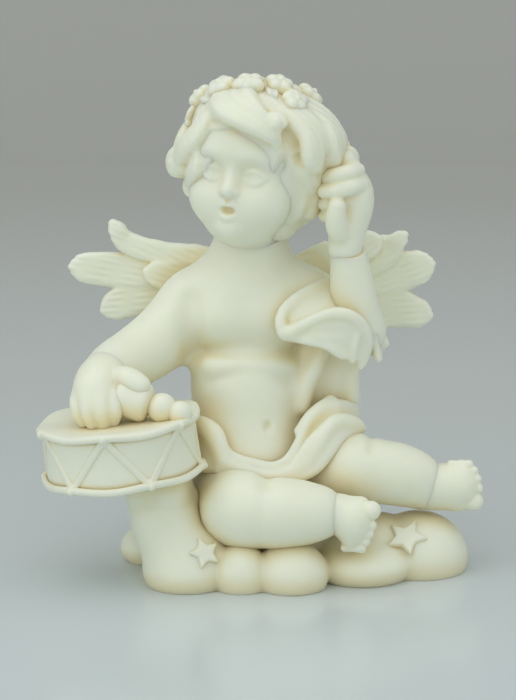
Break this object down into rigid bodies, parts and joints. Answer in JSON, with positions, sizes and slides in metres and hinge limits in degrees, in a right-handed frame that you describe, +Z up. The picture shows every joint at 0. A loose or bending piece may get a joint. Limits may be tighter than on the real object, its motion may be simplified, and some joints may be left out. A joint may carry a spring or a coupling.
{
  "type": "cherub figurine",
  "caption": "Seated winged cherub on a cloud with a toy drum and drumsticks, flower wreath and loose drapery, cast in ivory resin; a free-standing ornament.",
  "frame": {"origin": "on the flat underside of the cloud base, below the body", "axes": "+Z up, the figure faces -Y, +X towards the figure's left"},
  "size_m": [0.0889, 0.0588, 0.0991],
  "materials": {
    "ivory_resin": "satin",
    "brass_pin": "drawn"
  },
  "bodies": {
    "root": {"cloud_base": "ivory_resin", "drum_pillar": "ivory_resin", "torso": "ivory_resin", "head": "ivory_resin", "hair": "ivory_resin", "wreath_leaves": "ivory_resin", "wreath_flowers": "ivory_resin", "right_arm": "ivory_resin", "right_hand": "ivory_resin", "left_arm": "ivory_resin", "left_hand": "ivory_resin", "right_leg": "ivory_resin", "right_foot": "ivory_resin", "left_leg": "ivory_resin", "left_foot": "ivory_resin", "right_wing": "ivory_resin", "left_wing": "ivory_resin", "hip_drape": "ivory_resin", "mantle": "ivory_resin", "arm_drape": "ivory_resin", "drum_shell": "ivory_resin", "drum_top_skin": "ivory_resin", "drum_bottom_skin": "ivory_resin", "drum_top_hoop": "ivory_resin", "drum_bottom_hoop": "ivory_resin", "drum_cord": "ivory_resin", "right_drumstick": "ivory_resin", "left_drumstick": "ivory_resin", "stars": "ivory_resin", "body_pins": "brass_pin", "limb_pins": "brass_pin"}
  },
  "joints": []
}
